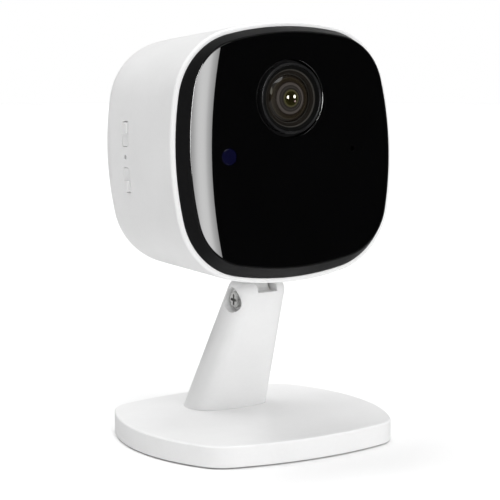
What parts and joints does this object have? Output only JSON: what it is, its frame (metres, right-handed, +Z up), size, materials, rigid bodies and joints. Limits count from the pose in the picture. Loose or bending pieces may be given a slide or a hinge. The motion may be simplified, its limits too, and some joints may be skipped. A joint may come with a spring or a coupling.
{
  "type": "security camera",
  "caption": "Indoor security camera: rounded square white head with a black lens face, side buttons and a tilt hinge on a leaning stem over a flat weighted base.",
  "frame": {"origin": "centre of the base's underside, on the surface the camera stands on", "axes": "+Z up, lens looks along -Y, +X to the right of someone facing the lens; the side buttons are on the -X flank"},
  "size_m": [0.068, 0.0616, 0.1074],
  "materials": {
    "white_shell": "satin moulded white plastic",
    "black_bezel": "matt moulded black plastic",
    "black_panel": "polished black acrylic",
    "lens_trim": "black plastic with a polished edge",
    "lens_hood": "fine matt black plastic",
    "barrel": "black anodised",
    "clear_glass": "coated lens glass",
    "sensor_glass": "dark blue window",
    "circuit_board": "solder mask on glass fibre",
    "chip": "moulded chip package",
    "inner_plastic": "black moulded plastic",
    "soft_pad": "soft silicone",
    "black_rubber": "matt rubber",
    "tin": "tinned steel",
    "screw_steel": "nickel plated steel",
    "heavy_steel": "zinc plated steel plate",
    "spreader": "cast aluminium",
    "led_resin": "dark clear resin",
    "nylon": "natural nylon"
  },
  "bodies": {
    "stand": {"base_shell": "white_shell", "weight_plate": "heavy_steel", "base_cover": "white_shell", "base_pad": "black_rubber", "base_screws": "screw_steel", "stem_screws": "screw_steel", "stem": "white_shell", "pivot_screw": "screw_steel", "pivot_nut": "screw_steel", "friction_washer_left": "nylon", "friction_washer_right": "nylon"},
    "head": {"rear_housing": "white_shell", "front_bezel": "black_bezel", "front_panel": "black_panel", "panel_gasket": "black_rubber", "lens_ring": "lens_trim", "lens_hood": "lens_hood", "lens_barrel": "barrel", "front_lens": "clear_glass", "lens_spacer": "barrel", "middle_lens": "clear_glass", "rear_lens": "clear_glass", "lens_mount": "inner_plastic", "infrared_filter": "clear_glass", "image_sensor": "chip", "sensor_board": "circuit_board", "sensor_board_screws": "screw_steel", "inner_frame": "inner_plastic", "frame_screws": "screw_steel", "front_board": "circuit_board", "front_board_screws": "screw_steel", "infrared_led_left": "led_resin", "infrared_led_right": "led_resin", "sensor_window": "sensor_glass", "light_sensor": "chip", "microphone": "tin", "microphone_boot": "black_rubber", "main_board": "circuit_board", "main_board_screws": "screw_steel", "processor": "chip", "thermal_pad": "soft_pad", "heat_spreader": "spreader", "radio_shield": "tin", "antenna": "circuit_board", "power_socket": "tin", "speaker": "inner_plastic", "speaker_gasket": "black_rubber", "side_board": "circuit_board", "side_board_screws": "screw_steel", "upper_switch": "inner_plastic", "lower_switch": "inner_plastic", "reset_switch": "inner_plastic", "hinge_tongue": "white_shell", "hinge_screws": "screw_steel"},
    "upper_button": {"upper_button": "white_shell", "upper_plunger": "nylon"},
    "lower_button": {"lower_button": "white_shell", "lower_plunger": "nylon"},
    "reset_plunger": {"reset_plunger": "nylon"}
  },
  "joints": [
    {"name": "head_tilt", "type": "hinge", "parent": "stand", "child": "head", "pos_m": [0, -0.002, 0.0366], "axis": [-1, 0, 0], "range_deg": [-12, 30]},
    {"name": "upper_button_press", "type": "slide", "parent": "head", "child": "upper_button", "axis": [1, 0, 0], "range_m": [0, 0.0004], "stiffness_N_per_m": 2500, "springref_m": -0.0004},
    {"name": "lower_button_press", "type": "slide", "parent": "head", "child": "lower_button", "axis": [1, 0, 0], "range_m": [0, 0.0004], "stiffness_N_per_m": 2500, "springref_m": -0.0004},
    {"name": "reset_press", "type": "slide", "parent": "head", "child": "reset_plunger", "axis": [1, 0, 0], "range_m": [0, 0.0003], "stiffness_N_per_m": 2500, "springref_m": -0.0004}
  ]
}
